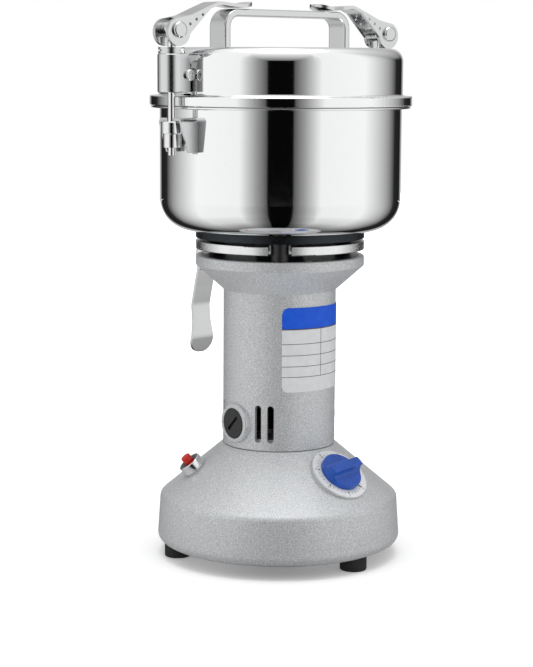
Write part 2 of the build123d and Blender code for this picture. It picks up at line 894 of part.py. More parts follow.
# Rotor: shaft, core, winding, commutator and fan
blade_seat = bowl_floor + seal_flange + blade_lift
upper_blade_foot = blade_seat + blade_thickness + spacer_height
nut_foot = upper_blade_foot + blade_thickness
shaft_foot = lower_bearing_foot
shaft_bore = shaft_radius + snug

with BuildPart() as motor_shaft:
    bar(level(shaft_foot), shaft_radius, blade_seat - shaft_foot)
    bar(level(blade_seat), blade_end_radius, nut_foot + blade_nut_height - blade_nut_cap - blade_seat)
save(motor_shaft, "motor_shaft")

with BuildPart() as armature_core:
    with BuildSketch(level(stator_foot)):
        Circle(rotor_radius)
        Circle(shaft_bore, mode=Mode.SUBTRACT)
        with PolarLocations(rotor_radius - rotor_slot_depth / 2 + overrun / 2, rotor_slot_count):
            Rectangle(rotor_slot_depth + overrun, rotor_slot_width, mode=Mode.SUBTRACT)
    extrude(amount=stator_height)
save(armature_core, "armature_core")

with BuildPart() as armature_winding:
    for foot in (stator_foot - winding_overhang, stator_top + slip):
        tube(level(foot), winding_radius, winding_bore, winding_overhang - slip)
    fillet(rims(armature_winding, winding_radius), winding_round)
    with BuildSketch(level(stator_foot - winding_overhang / 2)):
        bar_outer = rotor_radius - rotor_slot_mouth - winding_round
        bar_inner = rotor_radius - rotor_slot_depth + slip
        with PolarLocations((bar_outer + bar_inner) / 2, rotor_slot_count):
            Rectangle(bar_outer - bar_inner, rotor_slot_width - loose * 2)
    extrude(amount=stator_height + winding_overhang)
save(armature_winding, "armature_winding")

with BuildPart() as commutator:
    with BuildSketch(level(brush_level - commutator_height / 2)):
        Circle(commutator_radius)
        Circle(shaft_bore, mode=Mode.SUBTRACT)
        with PolarLocations(commutator_radius, commutator_bar_count):
            Rectangle(commutator_slit_depth * 2, commutator_slit, mode=Mode.SUBTRACT)
    extrude(amount=commutator_height)
save(commutator, "commutator")

with BuildPart() as cooling_fan:
    bar(level(fan_foot), fan_radius, fan_disc)
    bar(level(fan_foot), fan_hub_radius, fan_height)
    with BuildSketch(level(fan_foot)):
        with PolarLocations((fan_radius + fan_hub_radius - overrun) / 2, fan_blade_count):
            Rectangle(fan_radius - fan_hub_radius + overrun - fan_blade, fan_blade)
    extrude(amount=fan_height)
    bar(level(fan_foot), shaft_bore, fan_height, Mode.SUBTRACT)
save(cooling_fan, "cooling_fan")

# Gap under the bowl: chrome ring on its web, three posts and the bowl flange
with BuildPart() as air_ring:
    tube(level(ring_foot), band_radius, band_radius - ring_width, ring_height)
    fillet(rims(air_ring, band_radius), ring_round)
    tube(level(web_foot), band_radius - ring_width / 2, ring_hole_radius, ring_web)
    for angle in post_angles:
        with BuildSketch(level_at(post_circle, angle, ring_foot)):
            Circle(post_radius + post_room)
        extrude(amount=ring_height, mode=Mode.SUBTRACT)
        with BuildSketch(Plane(around(post_circle, angle, ring_foot), x_dir=outward(angle))):
            Rectangle(band_radius, (post_radius + post_room) * 2, align=(Align.MIN, Align.CENTER))
        extrude(amount=ring_height, mode=Mode.SUBTRACT)
    for angle in ring_screw_angles:
        screw_spot = level_at(ring_screw_circle, angle, web_foot)
        bar(screw_spot, small_screw_radius + slip, ring_web, Mode.SUBTRACT)
save(air_ring, "air_ring")

with BuildPart() as standoff_posts:
    for angle in post_angles:
        post_foot = level_at(post_circle, angle, band_top)
        tube(post_foot, post_radius, post_bolt_radius + slip, flange_foot - band_top)
save(standoff_posts, "standoff_posts")

bowl_screw_angles = spread(bowl_screw_count, base_turn)

with BuildPart() as bowl_flange:
    tube(level(flange_foot), band_radius, flange_hole_radius, flange_height)
    fillet(rims(bowl_flange, band_radius), ring_round)
    for angle in post_angles:
        bolt_spot = level_at(post_circle, angle, bowl_foot)
        bar(bolt_spot, post_bolt_head_radius + slip, -post_bolt_head_height, Mode.SUBTRACT)
        bar(bolt_spot, post_bolt_radius + slip, -flange_height, Mode.SUBTRACT)
    for angle in bowl_screw_angles:
        screw_spot = level_at(bowl_screw_circle, angle, bowl_foot)
        bar(screw_spot, bowl_screw_radius + slip, -flange_height, Mode.SUBTRACT)
save(bowl_flange, "bowl_flange")

with BuildPart() as post_bolts:
    for angle in post_angles:
        bolt_spot = level_at(post_circle, angle, bowl_foot - post_bolt_head_height)
        shank = bowl_foot - post_bolt_head_height - band_top + post_bolt_bite - slip
        screw(bolt_spot, post_bolt_radius, shank, post_bolt_head_radius, post_bolt_head_height)
save(post_bolts, "post_bolts")

# Bowl, its screws and the shaft seal in its floor
bowl_inner = bowl_radius - bowl_wall

with BuildPart() as bowl:
    turned(
        (0, bowl_foot),
        (bowl_radius, bowl_foot, bowl_corner),
        (bowl_radius, lip_foot, bowl_lip_round),
        (bowl_lip_radius, lip_foot, bowl_lip_round),
        (bowl_lip_radius, lip_top, bowl_lip_round),
        (bowl_inner, lip_top, bowl_lip_round),
        (bowl_inner, bowl_floor, bowl_corner - bowl_wall),
        (0, bowl_floor),
    )
    bar(level(bowl_foot), seal_radius + slip, bowl_wall, Mode.SUBTRACT)
    for angle in bowl_screw_angles:
        screw_spot = level_at(bowl_screw_circle, angle, bowl_foot)
        bar(screw_spot, bowl_screw_radius + slip, bowl_wall, Mode.SUBTRACT)
save(bowl, "bowl")

with BuildPart() as bowl_screws:
    for angle in bowl_screw_angles:
        screw_spot = level_at(bowl_screw_circle, angle, bowl_floor)
        shank = bowl_wall + flange_height
        screw(screw_spot, bowl_screw_radius, shank, bowl_screw_head_radius, bowl_screw_head_height)
    fillet(bowl_screws.edges().filter_by(GeomType.CIRCLE).group_by(Axis.Z)[-1], bowl_screw_head_height / 3)
save(bowl_screws, "bowl_screws")

with BuildPart() as shaft_seal:
    tube(level(flange_foot), seal_radius, shaft_radius + loose, bowl_floor - flange_foot)
    tube(level(bowl_floor), seal_flange_radius, shaft_radius + loose, seal_flange)
save(shaft_seal, "shaft_seal")


def blade(foot, reach, turn):
    """A flat double-ended blade on the shaft, with slanted cutting ends."""
    spread_plane = Plane(origin=(0, 0, foot), x_dir=outward(turn))
    half = blade_width / 2
    tip = blade_tip_width / 2
    with BuildSketch(spread_plane) as profile:
        outline(
            (half, half),
            (reach, tip),
            (reach, 0),
            (half, -half),
            (-half, -half),
            (-reach, -tip),
            (-reach, 0),
            (-half, half),
        )
        Circle(blade_end_radius + snug, mode=Mode.SUBTRACT)
    extrude(profile.sketch, amount=blade_thickness)


with BuildPart() as lower_blade:
    blade(blade_seat, blade_reach, base_turn)
save(lower_blade, "lower_blade")

with BuildPart() as upper_blade:
    blade(upper_blade_foot, upper_blade_reach, base_turn + upper_blade_turn)
save(upper_blade, "upper_blade")

with BuildPart() as blade_spacer:
    tube(level(blade_seat + blade_thickness), spacer_radius, blade_end_radius + snug, spacer_height)
save(blade_spacer, "blade_spacer")

with BuildPart() as blade_nut:
    hexagon(level(nut_foot), blade_nut_across, blade_end_radius + snug, blade_nut_height)
    bar(level(nut_foot + blade_nut_height - blade_nut_cap), blade_nut_across / 2, blade_nut_cap)
save(blade_nut, "blade_nut")

# Lid, its seal and the strap handle
lid_inner = lid_radius - lid_wall
groove_inner = bowl_inner + lid_seal_inset
groove_outer = groove_inner + lid_seal_width
groove_top = lip_top + lid_seal_height

with BuildPart() as lid:
    turned(
        (0, lid_top),
        (lid_radius, lid_top, lid_corner),
        (lid_radius, rim_top, lid_root_round),
        (rim_radius, rim_top, rim_round),
        (rim_radius, rim_foot, rim_round),
        (groove_outer + slip, rim_foot),
        (groove_outer + slip, groove_top + slip),
        (groove_inner - slip, groove_top + slip),
        (groove_inner - slip, rim_foot),
        (lid_inner, rim_foot),
        (lid_inner, lid_top - lid_wall, lid_corner - lid_wall),
        (0, lid_top - lid_wall),
    )
save(lid, "lid")

with BuildPart() as lid_seal:
    tube(level(lip_top), groove_outer, groove_inner, lid_seal_height)
save(lid_seal, "lid_seal")

handle_outer = handle_span / 2
handle_inner = handle_outer - handle_thickness
handle_soffit = handle_top - handle_thickness
handle_inner_corner = handle_corner - handle_thickness

with BuildPart() as handle:
    with BuildSketch(Plane.XZ):
        outline(
            (-handle_outer, lid_top),
            (-handle_outer, handle_top, handle_corner),
            (handle_outer, handle_top, handle_corner),
            (handle_outer, lid_top),
            (handle_inner, lid_top),
            (handle_inner, handle_soffit, handle_inner_corner),
            (-handle_inner, handle_soffit, handle_inner_corner),
            (-handle_inner, lid_top),
        )
    extrude(amount=handle_width / 2, both=True)
    side_edges = handle.faces().filter_by(Plane.XZ).edges()
    fillet(side_edges.filter_by(lambda edge: edge.center().Z > lid_top), handle_edge)
save(handle, "handle")

# Fixed latch pieces: lugs on the lid with their pivot screws, and catches on the bowl
catch_top = lip_foot - catch_drop
catch_foot = catch_top - catch_height
catch_outer = rod_place + catch_reach
pivot_head_seat = barrel_block_width / 2 + lever_fork_room


def across(radius, angle, height):
    """The upright plane of a latch's side view, centred on a point, with x outwards."""
    return Plane(around(radius, angle, height), x_dir=outward(angle), z_dir=-sideways(angle))


def cross_bar(plane, radius, half_length, mode=Mode.ADD):
    """A round bar that runs the same way to both sides of a plane."""
    with BuildSketch(plane) as profile:
        Circle(radius)
    extrude(profile.sketch, amount=half_length, both=True, mode=mode)


with BuildPart() as latch_lugs:
    for angle in latch_angles.values():
        with BuildSketch(across(pivot_place, angle, pivot_height)):
            Circle(lug_end_radius)
            outline(
                (0, lug_end_radius),
                (-pivot_standoff - overrun, lug_root_height / 2),
                (-pivot_standoff - overrun, -lug_root_height / 2),
                (0, -lug_end_radius),
            )
        extrude(amount=lug_width / 2, both=True)
        pivot = across(pivot_place, angle, pivot_height)
        cross_bar(pivot, pivot_screw_radius + snug, lug_width, Mode.SUBTRACT)
    bar(level(rim_top), lid_radius, lid_height, Mode.SUBTRACT)
save(latch_lugs, "latch_lugs")

with BuildPart() as latch_pivot_screws:
    for angle in latch_angles.values():
        pivot = across(pivot_place, angle, pivot_height)
        cross_bar(pivot, pivot_screw_radius, pivot_head_seat)
        for end in (-1, 1):
            bar(pivot.offset(end * pivot_head_seat), pivot_head_radius, end * pivot_head_height)
    head_middle = pivot_head_seat + pivot_head_height / 2
    head_rims = rims(latch_pivot_screws, pivot_head_radius)
    fillet(head_rims.filter_by(lambda edge: abs(edge.center().Y) > head_middle), pivot_head_round)
    for angle in latch_angles.values():
        pivot = across(pivot_place, angle, pivot_height)
        for end in (-1, 1):
            with BuildSketch(pivot.offset(end * (pivot_head_seat + pivot_head_height))):
                Rectangle(pivot_recess_length, pivot_recess_width, rotation=45)
                Rectangle(pivot_recess_width, pivot_recess_length, rotation=45)
            extrude(amount=-end * pivot_recess, mode=Mode.SUBTRACT)
save(latch_pivot_screws, "latch_pivot_screws")

with BuildPart() as catch_brackets:
    for angle in latch_angles.values():
        half = catch_width / 2
        hollow = half - catch_thickness
        with BuildSketch(wall(bowl_radius - overrun, angle, 0)):
            outline(
                (-half, catch_foot),
                (-half, catch_top, catch_bend),
                (half, catch_top, catch_bend),
                (half, catch_foot),
                (hollow, catch_foot),
                (hollow, catch_top - catch_thickness, catch_bend - catch_thickness),
                (-hollow, catch_top - catch_thickness, catch_bend - catch_thickness),
                (-hollow, catch_foot),
            )
        extrude(amount=catch_outer - bowl_radius + overrun)
        with BuildSketch(section(angle)):
            outline(
                (catch_outer, catch_top - catch_bend),
                (catch_outer + overrun, catch_top - catch_bend),
                (catch_outer + overrun, catch_foot - overrun),
                (catch_outer - catch_foot_reach, catch_foot - overrun),
                (catch_outer - catch_foot_reach, catch_foot),
            )
        extrude(amount=catch_width, both=True, mode=Mode.SUBTRACT)
        slot_half = rod_radius + catch_slot_room
        bar(level_at(rod_place, angle, catch_top), slot_half, -catch_thickness, Mode.SUBTRACT)
        with BuildSketch(Plane(around(rod_place, angle, catch_top), x_dir=outward(angle))):
            Rectangle(rod_standoff, slot_half * 2, align=(Align.MIN, Align.CENTER))
        extrude(amount=-catch_thickness, mode=Mode.SUBTRACT)
    bar(level(bowl_foot), bowl_radius, bowl_height, Mode.SUBTRACT)
save(catch_brackets, "catch_brackets")

# The lever that both latches and the rear clamp use
lever_valley = handle_top + lever_clearance + lever_strap - pin_height
fork_half = eye_width / 2 + lever_fork_room


def lever(pin, along, rise, length, valley, cheek_share):
    """A cam lever: forked discs on the pin, a folded channel and a flat paddle."""
    side = Plane(pin, x_dir=along, z_dir=along.cross(rise))
    crest = valley + lever_hump
    lever_top = (
        (length * lever_top_share[0], crest * lever_climb_share[0]),
        (length * lever_top_share[1], crest * lever_climb_share[1]),
        (length * lever_top_share[2], crest),
        (length * lever_top_share[3], valley),
    )
    tip_height = valley + lever_kick
    web = [(place, height - lever_strap) for place, height in lever_top]
    start_slope = (lever_top[0][1] - cam_radius + cam_offset) / lever_top[0][0]
    web_start_height = cam_radius - cam_offset + start_slope * lever_web_start - lever_strap
    cheek_end = length * cheek_share
    after = next(index for index, (place, height) in enumerate(web) if place > cheek_end)
    climb = (web[after][1] - web[after - 1][1]) / (web[after][0] - web[after - 1][0])
    cheek_end_height = web[after - 1][1] + climb * (cheek_end - web[after - 1][0])
    with BuildSketch(side) as profile:
        outline(
            (0, cam_radius - cam_offset),
            *[(place, height, lever_bend) for place, height in lever_top],
            (length, tip_height, lever_tip_round),
            (length, tip_height - lever_strap, lever_tip_round),
            *[(place, height, lever_bend) for place, height in reversed(web[after:])],
            (cheek_end, cheek_end_height),
            (length * lever_heel_share, -cam_offset - lever_strap),
            (0, -cam_offset),
        )
        with Locations((0, -cam_offset)):
            Circle(cam_radius)
    extrude(profile.sketch, amount=lever_paddle_width / 2, both=True)
    with BuildSketch(Plane(pin, x_dir=along, z_dir=rise)) as plan:
        neck = length * lever_neck_share
        half = lever_width / 2
        end_half = lever_paddle_width / 2
        outline(
            (-cam_radius * 2, -half),
            (neck, -half, lever_bend),
            (length, -end_half, end_half * lever_tip_share),
            (length, end_half, end_half * lever_tip_share),
            (neck, half, lever_bend),
            (-cam_radius * 2, half),
        )
    extrude(plan.sketch, amount=length, both=True, mode=Mode.INTERSECT)
    with BuildSketch(side) as hollow:
        outline(
            (lever_web_start, -cam_radius * 2),
            (lever_web_start, web_start_height),
            *web[:after],
            (cheek_end, cheek_end_height),
            (cheek_end, -cam_radius * 2),
        )
        outline(
            (-cam_radius * 2, -cam_radius * 2),
            (-cam_radius * 2, cam_radius * 2),
            (lever_web_start, cam_radius * 2),
            (lever_web_start, -cam_radius * 2),
        )
    extrude(hollow.sketch, amount=fork_half, both=True, mode=Mode.SUBTRACT)
    cross_bar(side, pin_radius + snug, lever_width, Mode.SUBTRACT)


def lever_pin(plane):
    """A pin with a domed head on each end, across a lever's fork."""
    cross_bar(plane, pin_radius, lever_width / 2)
    for end in (-1, 1):
        bar(plane.offset(end * lever_width / 2), pin_head_radius, end * pin_head_height)


def outer_rims(piece, plane):
    """The outer rims of a lever pin's two heads."""
    head_middle = (lever_width + pin_head_height) / 2
    heads = rims(piece, pin_head_radius)
    return heads.filter_by(lambda edge: abs(plane.to_local_coords(edge.center()).Z) > head_middle)


# Moving latch pieces
nut_top = catch_top - catch_thickness - nut_gap
nut_shoulder = nut_top - nut_head
nut_bottom = nut_shoulder - nut_waist
rod_foot = nut_bottom - rod_tail

for side, angle in latch_angles.items():
    pin = around(rod_place, angle, pin_height)
    pin_plane = across(rod_place, angle, pin_height)
    rod_axis = level_at(rod_place, angle, 0)

    with BuildPart() as latch_barrel:
        block = rod_place - pivot_place + barrel_relief_depth
        block_half = barrel_block_width / 2
        with BuildSketch(Plane(around(rod_place, angle, barrel_foot), x_dir=outward(angle))):
            Circle(barrel_radius)
            outline(
                (0, block_half),
                (-block + barrel_chamfer, block_half),
                (-block, block_half - barrel_chamfer),
                (-block, -block_half + barrel_chamfer),
                (-block + barrel_chamfer, -block_half),
                (0, -block_half),
            )
        extrude(amount=collar_foot - barrel_foot)
        ends = latch_barrel.faces().filter_by(Axis.Z)
        fillet(ends.edges(), barrel_round)
        bar(rod_axis.offset(collar_foot), collar_waist, collar_height)
        bar(rod_axis.offset(collar_foot), collar_radius, collar_ring)
        bar(rod_axis.offset(collar_top), collar_radius, -collar_ring)
        with BuildSketch(across(pivot_place, angle, pivot_height)):
            outline(
                (-barrel_radius, 0),
                (-barrel_relief_depth, 0),
                (barrel_relief_reach, barrel_relief_height),
                (barrel_relief_reach, collar_top - pivot_height + overrun),
                (-barrel_radius, collar_top - pivot_height + overrun),
            )
        extrude(amount=barrel_block_width, both=True, mode=Mode.SUBTRACT)
        with BuildSketch(across(pivot_place, angle, pivot_height)):
            outline(
                (-barrel_radius, barrel_foot - pivot_height - overrun),
                (lug_end_radius + barrel_slot_room, barrel_foot - pivot_height - overrun),
                (lug_end_radius + barrel_slot_room, barrel_slot_rise),
                (-barrel_radius, barrel_slot_rise),
            )
        extrude(amount=lug_width / 2 + lever_fork_room, both=True, mode=Mode.SUBTRACT)
        bar(rod_axis.offset(barrel_foot), rod_radius + running, collar_top - barrel_foot, Mode.SUBTRACT)
        pivot = across(pivot_place, angle, pivot_height)
        cross_bar(pivot, pivot_screw_radius + running, barrel_block_width, Mode.SUBTRACT)
    save(latch_barrel, f"{side}_latch_barrel")

    with BuildPart() as latch_rod:
        bar(rod_axis.offset(rod_foot), rod_radius, pin_height - rod_foot)
        cross_bar(pin_plane, eye_radius, eye_width / 2)
        cross_bar(pin_plane, pin_radius + running, eye_width, Mode.SUBTRACT)
    save(latch_rod, f"{side}_latch_rod")

    with BuildPart() as latch_nut:
        bar(rod_axis.offset(nut_shoulder), nut_radius, nut_head)
        fillet(rims(latch_nut, nut_radius), nut_round)
        bar(rod_axis.offset(nut_bottom), nut_waist_radius, nut_waist)
        bar(rod_axis.offset(nut_bottom), rod_radius + snug, nut_waist + nut_head, Mode.SUBTRACT)
    save(latch_nut, f"{side}_latch_nut")

    with BuildPart() as latch_lever:
        lever(pin, -outward(angle), Vector(0, 0, 1), lever_length, lever_valley, lever_cheek_share)
        for place, height in zip(lever_hole_share, lever_hole_rise_share):
            hole_place = rod_place - lever_length * place
            hole_height = pin_height + (lever_valley + lever_hump) * height
            hole = across(hole_place, angle, hole_height)
            cross_bar(hole, lever_hole_radius, lever_width, Mode.SUBTRACT)
    save(latch_lever, f"{side}_latch_lever")

    with BuildPart() as latch_pin:
        lever_pin(pin_plane)
        fillet(outer_rims(latch_pin, pin_plane), pin_head_round)
    save(latch_pin, f"{side}_latch_pin")

# Rear clamp lever, hanging from the lug on the column's band
rear_pin_plane = across(rear_pin_place, rear_angle, rear_pin_height)

with BuildPart() as rear_clamp_lever:
    rear_pin = around(rear_pin_place, rear_angle, rear_pin_height)
    out = outward(rear_angle)
    lever(rear_pin, Vector(0, 0, -1), out, rear_lever_length, rear_lever_valley, rear_cheek_share)
save(rear_clamp_lever, "rear_clamp_lever")

with BuildPart() as rear_clamp_pin:
    lever_pin(rear_pin_plane)
    fillet(outer_rims(rear_clamp_pin, rear_pin_plane), pin_head_round)
save(rear_clamp_pin, "rear_clamp_pin")

# Timer: dial on its pad, body under it, knob and shaft turning in it
dial_face = pad_rise + dial_thickness
knob_foot = dial_face + knob_gap
knob_seat = slope(dial_place, base_turn, knob_foot)
knob_swing = math.radians(knob_turn)
bar_direction = knob_seat.x_dir * math.cos(knob_swing) + knob_seat.y_dir * math.sin(knob_swing)
knob_plane = Plane(knob_seat.origin, x_dir=bar_direction, z_dir=knob_seat.z_dir)

with BuildPart() as dial_plate:
    tube(slope(dial_place, base_turn, pad_rise), dial_radius, timer_hole_radius, dial_thickness)
save(dial_plate, "dial_plate")

with BuildPart() as timer_body:
    with BuildSketch(shaft_hole):
        RectangleRounded(timer_side, timer_side, timer_round)
    extrude(amount=-timer_depth)
    bar(shaft_hole, timer_shaft_radius + running, -timer_shaft_sink, Mode.SUBTRACT)
    with BuildSketch(shaft_hole):
        with Locations((-timer_screw_offset, 0), (timer_screw_offset, 0)):
            Circle(small_screw_radius + slip)
    extrude(amount=-timer_screw_bite, mode=Mode.SUBTRACT)
save(timer_body, "timer_body")

# Small screws: end plate, air ring and timer
with BuildPart() as small_screws:
    for angle in end_screw_angles:
        screw_spot = level_at(end_screw_circle, angle, band_top - small_screw_head_height)
        shank = end_plate_thickness - small_screw_head_height + end_screw_bite - slip
        screw(screw_spot, small_screw_radius, shank, small_screw_head_radius, small_screw_head_height)
    for angle in ring_screw_angles:
        screw_spot = level_at(ring_screw_circle, angle, web_foot + ring_web)
        shank = ring_web + ring_screw_bite - slip
        screw(screw_spot, small_screw_radius, shank, small_screw_head_radius, small_screw_head_height)
    for place in (-timer_screw_offset, timer_screw_offset):
        head_seat = slope(dial_place, base_turn, pad_rise - small_screw_head_height)
        screw_spot = head_seat.shift_origin(head_seat.from_local_coords((place, 0, 0)))
        shank = pad_rise - small_screw_head_height + pad_depth + timer_screw_bite - slip
        screw(screw_spot, small_screw_radius, shank, small_screw_head_radius, small_screw_head_height)
save(small_screws, "small_screws")

with BuildPart() as timer_shaft:
    shaft_end = slope(dial_place, base_turn, -pad_depth - timer_shaft_sink + slip)
    shaft_length = pad_depth + timer_shaft_sink - slip + knob_foot + timer_shaft_in_knob
    bar(shaft_end, timer_shaft_radius, shaft_length)
save(timer_shaft, "timer_shaft")

with BuildPart() as timer_knob:
    bar(knob_plane, knob_radius, knob_height)
    bar_half = knob_bar_width / 2
    with BuildSketch(Plane(knob_plane.origin, x_dir=knob_plane.y_dir, z_dir=knob_plane.x_dir)):
        for way in (-1, 1):
            outline(
                (way * bar_half, knob_height + overrun),
                (way * bar_half, knob_skirt, knob_scoop),
                (way * (knob_radius + overrun), knob_skirt),
                (way * (knob_radius + overrun), knob_height + overrun),
            )
    extrude(amount=knob_radius * 2, both=True, mode=Mode.SUBTRACT)
    upper_edges = timer_knob.edges().filter_by(
        lambda edge: knob_plane.to_local_coords(edge.center()).Z > knob_skirt - same_length
    )
    fillet(upper_edges.filter_by(lambda edge: edge.length > knob_scoop * 2), knob_edge)
    bar(knob_plane, timer_shaft_radius + snug, timer_shaft_in_knob, Mode.SUBTRACT)
save(timer_knob, "timer_knob")

# Overload cut-out: body inside the base, round nut and reset button outside
neck_top = breaker_pad_rise + breaker_nut_height - breaker_neck_drop

with BuildPart() as breaker_body:
    with BuildSketch(breaker_pad):
        RectangleRounded(breaker_length, breaker_width, breaker_round)
    extrude(amount=-breaker_depth)
    bar(breaker_pad, breaker_neck_radius, breaker_pad_depth + neck_top)
    button_well = breaker_pad_depth + neck_top + button_travel + loose
    bar(slope(breaker_place, breaker_angle, neck_top), button_radius + running, -button_well, Mode.SUBTRACT)
save(breaker_body, "breaker_body")

with BuildPart() as breaker_nut:
    nut_plane = slope(breaker_place, breaker_angle, breaker_pad_rise)
    tube(nut_plane, breaker_nut_radius, breaker_neck_radius + slip, breaker_nut_height)
    fillet(rims(breaker_nut, breaker_nut_radius), breaker_nut_round)
save(breaker_nut, "breaker_nut")

with BuildPart() as reset_button:
    button_foot = slope(breaker_place, breaker_angle, -breaker_pad_depth)
    bar(button_foot, button_radius, breaker_pad_depth + neck_top + button_proud)
    button_rims = rims(reset_button, button_radius)
    fillet(max(button_rims, key=lambda edge: edge.center().Z), button_edge)
save(reset_button, "reset_button")
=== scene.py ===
"""Looks of the electric dry grinder: finishes, printed marks, studio and camera.

Metres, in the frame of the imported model. The front is -Y, angles are counted from the front
towards +X, and the two lid latches lie on the X axis.
"""
import json
import math

import bpy
from mathutils import Matrix, Vector


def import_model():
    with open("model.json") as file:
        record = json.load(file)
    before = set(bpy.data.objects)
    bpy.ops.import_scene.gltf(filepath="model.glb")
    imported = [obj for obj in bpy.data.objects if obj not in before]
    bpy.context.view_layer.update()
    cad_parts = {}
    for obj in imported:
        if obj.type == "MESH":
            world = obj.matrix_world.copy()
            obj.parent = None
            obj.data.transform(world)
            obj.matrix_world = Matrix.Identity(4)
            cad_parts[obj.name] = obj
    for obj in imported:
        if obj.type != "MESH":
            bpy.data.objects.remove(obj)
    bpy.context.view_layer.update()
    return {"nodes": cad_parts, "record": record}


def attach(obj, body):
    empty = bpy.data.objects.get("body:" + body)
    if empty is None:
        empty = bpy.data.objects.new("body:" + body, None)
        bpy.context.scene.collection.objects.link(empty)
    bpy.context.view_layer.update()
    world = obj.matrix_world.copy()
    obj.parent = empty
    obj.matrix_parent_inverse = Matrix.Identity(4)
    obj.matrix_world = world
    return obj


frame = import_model()
nodes = frame["nodes"]

MM = 0.001

# Photograph and camera
IMAGE_WIDTH = 533
IMAGE_HEIGHT = 667
SENSOR = 36.0
FOCAL_PIXELS = 1850.0
CAMERA_AZIMUTH = -41.0
CAMERA_DISTANCE = 1.3875
CAMERA_HEIGHT = 0.3685
AXIS_PIXEL_X = 279.5
HORIZON_PIXEL_Y = 66.0
CAMERA_ROLL = 0.3

# Studio
FLOOR_HALF = 2.95
FLOOR_SEGMENTS = 8
FLOOR_COLOR = (0.9, 0.9, 0.9, 1.0)
FLOOR_REACH = 1.2
# Glow of the floor seen by the camera, by distance from the object: low close to it, a painted shade round
# the object, and full white far off.
FLOOR_GLOW_AND_PAINTED_SHADE_STOPS = (
    (0.0, 0.22),
    (0.2, 0.22),
    (0.45, 0.42),
    (1.2, 1.0),
)
TENT_RADIUS = 3.0
TENT_TOP = 6.0
TENT_SEGMENTS = 180
TENT_TURN = math.radians(CAMERA_AZIMUTH - 90)
TENT_LEVEL = 1.0
TENT_STOPS = (
    (0.0, 0.002),
    (11.5, 0.002),
    (12.5, 0.1),
    (22.0, 0.34),
    (30.0, 0.62),
    (38.0, 0.95),
    (84.0, 1.0),
    (100.0, 0.72),
    (120.0, 0.36),
    (136.0, 0.02),
    (154.0, 0.012),
    (162.0, 0.45),
    (180.0, 0.7),
)
TENT_HEIGHT_STOPS = (
    (0.0, 0.0),
    (0.6, 0.0),
    (1.0, 0.28),
    (1.8, 0.5),
    (4.2, 0.85),
    (6.0, 1.0),
)
MAT_RADIUS = 2.9
MAT_LIFT = 0.0005
# What metal sees of the floor, by distance: darker close to the object, a painted shade standing for its
# shadow on the floor.
MAT_PAINTED_SHADE_STOPS = (
    (0.0, 0.2),
    (0.12, 0.25),
    (0.22, 0.7),
    (0.4, 0.96),
    (2.9, 1.0),
)
TOP_LIGHT_HEIGHT = 2.2
TOP_LIGHT_SIZE = 1.6
TOP_LIGHT_POWER = 22.0
WORLD_LEVEL = 0.8

# Grain of the finishes
FLECK_SIZE = 0.8 * MM
COAT_CLOUD_SIZE = 1.6 * MM
CAST_SKIN_SIZE = 0.6 * MM
CAST_SKIN_DEPTH = 0.05 * MM
POLISH_SIZE = 3.0 * MM
FINE_POLISH = 0.004 * MM
SATIN_POLISH = 0.006 * MM
PLATE_POLISH = 0.008 * MM
METAL_GRAIN_SIZE = 0.6 * MM
METAL_GRAIN_DEPTH = 0.03 * MM
METAL_CLOUDS = 4
SKIN_SIZE = 0.5 * MM
SKIN_DEPTH = 0.02 * MM
SKIN_CLOUDS = 12
GRAIN_START = 0.3
GRAIN_END = 0.7
RELIEF = 0.4
METAL_RELIEF = 0.5

# Printed marks, on the data plate and the dial
LABEL_RADIUS = 42.93
LABEL_START = -38.5
LABEL_END = 49.5
LABEL_TOP = 192.9
LABEL_CORNER = 5.0
HEADER_FOOT = 176.8
HEADER_RULE = 0.8
RULE_HEIGHTS = (165.8, 157.3, 149.1, 141.2)
RULE_WIDTH = 0.42
RULE_ANGLE = 4.7
PRINT_LIFT = 0.03
RULE_LIFT = 0.06
PRINT_STEPS = 72
DIAL_TURN = 4.0
DIAL_PLACE = 63.0
DIAL_FACE = 1.8
CONE_TOP = 85.0
CONE_TOP_RADIUS = 43.2
CONE_RUN = 47.0
CONE_RISE = 39.5
TICK_START = -54.0
TICK_SWEEP = 300.0
TICK_COUNT = 30
TICK_FAR = 19.1
TICK_LENGTH = 1.2
TICK_WIDTH = 0.36
MAJOR_TICK_STEP = 5
MAJOR_TICK_LENGTH = 2.0
MAJOR_TICK_WIDTH = 0.8
ZERO_TICK_LENGTH = 3.4
ZERO_TICK_WIDTH = 1.3
NUMBER_PLACE = 20.55
NUMBER_SIZE = 2.5


# Materials

